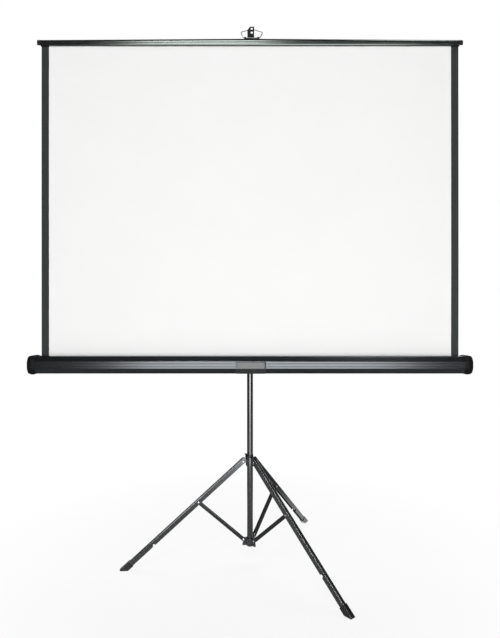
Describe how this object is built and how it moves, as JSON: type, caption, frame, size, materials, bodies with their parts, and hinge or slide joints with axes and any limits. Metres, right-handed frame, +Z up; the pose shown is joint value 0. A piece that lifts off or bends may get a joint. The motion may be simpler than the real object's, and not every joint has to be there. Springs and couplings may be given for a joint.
{
  "type": "tripod projection screen",
  "caption": "Portable pull-up projection screen: white cloth with black side borders drawn from a roller case, hung on a telescopic mast over a folding tripod stand.",
  "frame": {"origin": "on the floor under the middle of the object's box", "axes": "+Z up along the pole, -Y towards the viewer of the screen, +X to the viewer's right"},
  "size_m": [1.738, 0.8366, 2.1547],
  "materials": {
    "dark_paint": "satin charcoal paint on sheet steel and tube",
    "case_paint": "satin charcoal paint on a thin extruded section",
    "black_plastic": "fine-grained black moulding",
    "bright_zinc": "bright zinc plate",
    "boot_rubber": "matt black rubber",
    "screen_cloth": "matt white screen cloth with black side borders",
    "steel_tube": "drawn steel",
    "pale_nylon": "natural nylon"
  },
  "bodies": {
    "stand": {"pole_tube": "dark_paint", "pole_plug": "black_plastic", "hub_stop": "dark_paint", "base_bracket": "dark_paint", "base_pin_left": "bright_zinc", "base_pin_front": "bright_zinc", "base_pin_back": "bright_zinc", "rod_collar": "black_plastic", "case_carriage": "black_plastic", "swivel_plate": "dark_paint", "swivel_bolt": "bright_zinc", "case_shell": "case_paint", "case_cap_left": "black_plastic", "case_cap_right": "black_plastic", "carry_grip": "black_plastic", "screen_fabric": "screen_cloth", "roller_spear": "bright_zinc", "roller_spring": "steel_tube"},
    "strut_left": {"strut_left": "dark_paint"},
    "leg_left": {"leg_left": "dark_paint", "boot_left": "boot_rubber", "strut_pin_left": "bright_zinc"},
    "hub": {"hub_collar": "dark_paint", "hub_pin_left": "bright_zinc", "hub_pin_front": "bright_zinc", "hub_pin_back": "bright_zinc", "latch_pin": "bright_zinc"},
    "leg_front": {"leg_front": "dark_paint", "boot_front": "boot_rubber", "strut_pin_front": "bright_zinc"},
    "strut_front": {"strut_front": "dark_paint"},
    "leg_back": {"leg_back": "dark_paint", "boot_back": "boot_rubber", "strut_pin_back": "bright_zinc"},
    "strut_back": {"strut_back": "dark_paint"},
    "latch": {"hub_latch": "black_plastic"},
    "mast": {"extension_rod": "steel_tube", "rod_foot": "pale_nylon", "rod_plug": "black_plastic", "hook_plate": "dark_paint", "hook_screw": "bright_zinc", "slat_tube": "case_paint", "slat_cap_left": "black_plastic", "slat_cap_right": "black_plastic", "hem_dowel": "pale_nylon", "bail_saddle": "dark_paint", "bail": "bright_zinc"},
    "roller": {"roller_tube": "steel_tube", "fabric_roll": "screen_cloth", "roller_plug_left": "pale_nylon", "roller_plug_right": "pale_nylon"},
    "rod_knob": {"rod_knob": "black_plastic"},
    "carriage_knob": {"carriage_knob": "black_plastic"}
  },
  "joints": [
    {"name": "stand_fold", "type": "hinge", "parent": "stand", "child": "strut_left", "pos_m": [-0.02683, -0.02741, 0.09907], "axis": [-0.1132, 0.9936, 0], "range_deg": [0, 48]},
    {"name": "leg_left_fold", "type": "hinge", "parent": "strut_left", "child": "leg_left", "pos_m": [-0.20679, -0.04791, 0.25652], "axis": [0.1132, -0.9936, 0], "range_deg": [0, 96]},
    {"name": "hub_rise", "type": "hinge", "parent": "leg_left", "child": "hub", "pos_m": [-0.02683, -0.02741, 0.41397], "axis": [-0.1132, 0.9936, 0], "range_deg": [0, 48]},
    {"name": "leg_front_fold", "type": "hinge", "parent": "hub", "child": "leg_front", "pos_m": [0.01793, -0.04454, 0.41397], "axis": [0.7478, 0.6639, 0], "range_deg": [0, 48]},
    {"name": "strut_front_fold", "type": "hinge", "parent": "leg_front", "child": "strut_front", "pos_m": [0.13818, -0.17999, 0.25652], "axis": [-0.7478, -0.6639, 0], "range_deg": [0, 96]},
    {"name": "leg_back_fold", "type": "hinge", "parent": "hub", "child": "leg_back", "pos_m": [0.01447, -0.00155, 0.41397], "axis": [-0.8443, 0.5358, 0], "range_deg": [0, 48]},
    {"name": "strut_back_fold", "type": "hinge", "parent": "leg_back", "child": "strut_back", "pos_m": [0.11152, 0.15138, 0.25652], "axis": [0.8443, -0.5358, 0], "range_deg": [0, 96]},
    {"name": "latch_press", "type": "hinge", "parent": "hub", "child": "latch", "pos_m": [-0.01216, -0.03651, 0.43557], "axis": [-0.7071, 0.7071, 0], "range_deg": [0, 15], "stiffness_Nm_per_rad": 0.2},
    {"name": "rod_slide", "type": "slide", "parent": "stand", "child": "mast", "axis": [0, 0, 1], "range_m": [-0.88, 0], "deforming": ["screen_fabric"]},
    {"name": "roller_spin", "type": "hinge", "parent": "stand", "child": "roller", "pos_m": [0, -0.08535, 0.813], "axis": [1, 0, 0], "range_deg": [-3160, 0]},
    {"name": "rod_knob_turn", "type": "hinge", "parent": "stand", "child": "rod_knob", "pos_m": [0, -0.00435, 1.19915], "axis": [0, 1, 0], "range_deg": [0, 360]},
    {"name": "carriage_knob_turn", "type": "hinge", "parent": "stand", "child": "carriage_knob", "pos_m": [0, -0.00435, 0.813], "axis": [0, 1, 0], "range_deg": [0, 360]}
  ],
  "couplings": [
    {"joint": "leg_left_fold", "follows": "stand_fold", "ratio": 2},
    {"joint": "hub_rise", "follows": "stand_fold", "ratio": 1},
    {"joint": "leg_front_fold", "follows": "stand_fold", "ratio": 1},
    {"joint": "strut_front_fold", "follows": "stand_fold", "ratio": 2},
    {"joint": "leg_back_fold", "follows": "stand_fold", "ratio": 1},
    {"joint": "strut_back_fold", "follows": "stand_fold", "ratio": 2},
    {"joint": "roller_spin", "follows": "rod_slide", "rad_per_m": 62.5}
  ]
}
